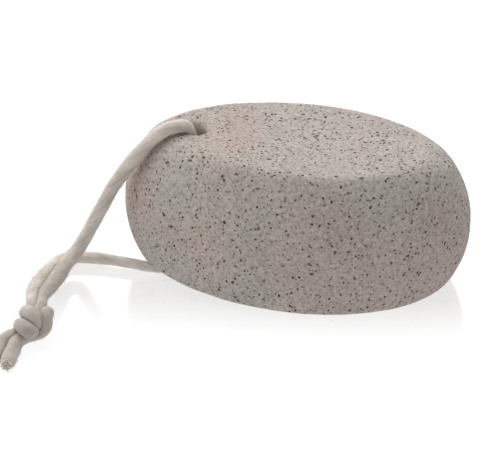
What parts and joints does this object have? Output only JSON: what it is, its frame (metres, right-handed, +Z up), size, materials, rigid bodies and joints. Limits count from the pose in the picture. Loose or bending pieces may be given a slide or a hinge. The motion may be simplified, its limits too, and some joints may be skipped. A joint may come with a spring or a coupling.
{
  "type": "pumice stone",
  "caption": "Oval pumice foot stone with a hole near one end and a soft cotton hanging rope threaded through it and tied in a doubled overhand knot.",
  "frame": {"origin": "on the ground under the middle of the stone's own box, the rope left out", "axes": "+X along the stone's length, away from the hole; +Z up; the stone leans 1.8 degrees because its bored end lies on the rope"},
  "size_m": [0.1234, 0.1052, 0.0465],
  "materials": {
    "pumice": "matt, warm grey, full of small dark pores",
    "cotton_rope": "soft twisted cotton, off-white, slightly fuzzy"
  },
  "bodies": {
    "root": {"stone": "pumice", "cord_upper_run": "cotton_rope", "cord_lower_run": "cotton_rope", "cord_knot": "cotton_rope", "cord_tail_right": "cotton_rope", "cord_tail_left": "cotton_rope"}
  },
  "joints": []
}
